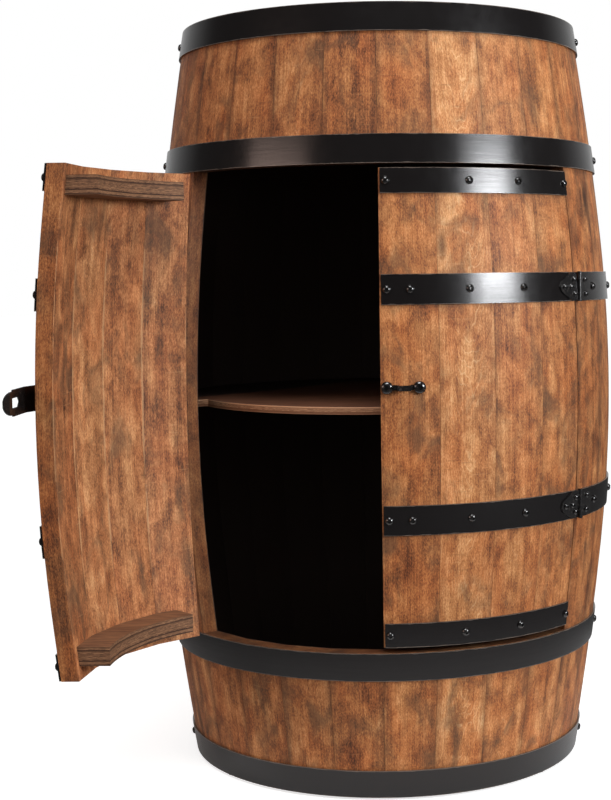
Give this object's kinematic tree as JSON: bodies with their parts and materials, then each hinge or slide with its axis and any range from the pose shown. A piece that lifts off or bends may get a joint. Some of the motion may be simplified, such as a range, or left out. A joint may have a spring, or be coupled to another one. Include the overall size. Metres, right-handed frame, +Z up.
{
  "type": "barrel bar cabinet",
  "caption": "Upright cabinet made from a stave barrel with steel hoops; a pair of curved hinged doors in the front closes with a hasp over a shelf.",
  "frame": {"origin": "on the floor, below the barrel's axis", "axes": "+Z up along the barrel's axis, the doors face -Y, +X to the right as one faces the doors"},
  "size_m": [0.5862, 0.6641, 0.803],
  "materials": {
    "stave_wood": "walnut brown stain under satin lacquer",
    "head_wood": "walnut brown stain under satin lacquer",
    "cleat_wood": "black paint, matt",
    "rib_plywood": "plywood, stained brown, satin",
    "shelf_plywood": "plywood, stained brown, satin",
    "band_steel": "black paint, satin",
    "fitting_steel": "black paint, satin",
    "screw_black": "black oxide, satin",
    "glide_black": "black plastic, matt"
  },
  "bodies": {
    "carcass": {"back_staves": "stave_wood", "bottom_head": "head_wood", "bottom_hoop": "band_steel", "cleat_screws": "screw_black", "glides": "glide_black", "hoop_screws": "screw_black", "jamb_leaf_screws": "screw_black", "left_hinge_pins": "fitting_steel", "left_lower_jamb_leaf": "fitting_steel", "left_upper_jamb_leaf": "fitting_steel", "lower_front_staves": "stave_wood", "lower_hoop": "band_steel", "lower_side_hoop": "band_steel", "right_hinge_pins": "fitting_steel", "right_lower_jamb_leaf": "fitting_steel", "right_upper_jamb_leaf": "fitting_steel", "shelf": "shelf_plywood", "shelf_cleats": "cleat_wood", "side_hoop_screws": "screw_black", "top_head": "head_wood", "top_hoop": "band_steel", "upper_front_staves": "stave_wood", "upper_hoop": "band_steel", "upper_side_hoop": "band_steel"},
    "left_door": {"left_door_leaf_screws": "screw_black", "left_door_stave_1": "stave_wood", "left_door_stave_2": "stave_wood", "left_door_stave_3": "stave_wood", "left_door_stave_4": "stave_wood", "left_door_strap_1": "band_steel", "left_door_strap_2": "band_steel", "left_door_strap_3": "band_steel", "left_door_strap_4": "band_steel", "left_lower_door_leaf": "fitting_steel", "left_lower_rib": "rib_plywood", "left_strap_screws": "screw_black", "left_upper_door_leaf": "fitting_steel", "left_upper_rib": "rib_plywood", "hasp_plate": "fitting_steel", "hasp_plate_screws": "screw_black", "hasp_pin": "fitting_steel"},
    "right_door": {"right_door_leaf_screws": "screw_black", "right_door_stave_1": "stave_wood", "right_door_stave_2": "stave_wood", "right_door_stave_3": "stave_wood", "right_door_stave_4": "stave_wood", "right_door_strap_1": "band_steel", "right_door_strap_2": "band_steel", "right_door_strap_3": "band_steel", "right_door_strap_4": "band_steel", "right_lower_door_leaf": "fitting_steel", "right_lower_rib": "rib_plywood", "right_strap_screws": "screw_black", "right_upper_door_leaf": "fitting_steel", "right_upper_rib": "rib_plywood", "staple": "fitting_steel", "staple_screws": "screw_black"},
    "hasp": {"hasp_flap": "fitting_steel"}
  },
  "joints": [
    {"name": "left_door_hinge", "type": "hinge", "parent": "carcass", "child": "left_door", "pos_m": [-0.20737, -0.15011, 0.40665], "axis": [0, 0, 1], "range_deg": [-25, 90]},
    {"name": "right_door_hinge", "type": "hinge", "parent": "carcass", "child": "right_door", "pos_m": [0.20737, -0.15011, 0.40665], "axis": [0, 0, 1], "range_deg": [0, 115]},
    {"name": "hasp_hinge", "type": "hinge", "parent": "left_door", "child": "hasp", "pos_m": [-0.3132, -0.31614, 0.4245], "axis": [0, 0, 1], "range_deg": [-153.5, 6.5]}
  ]
}
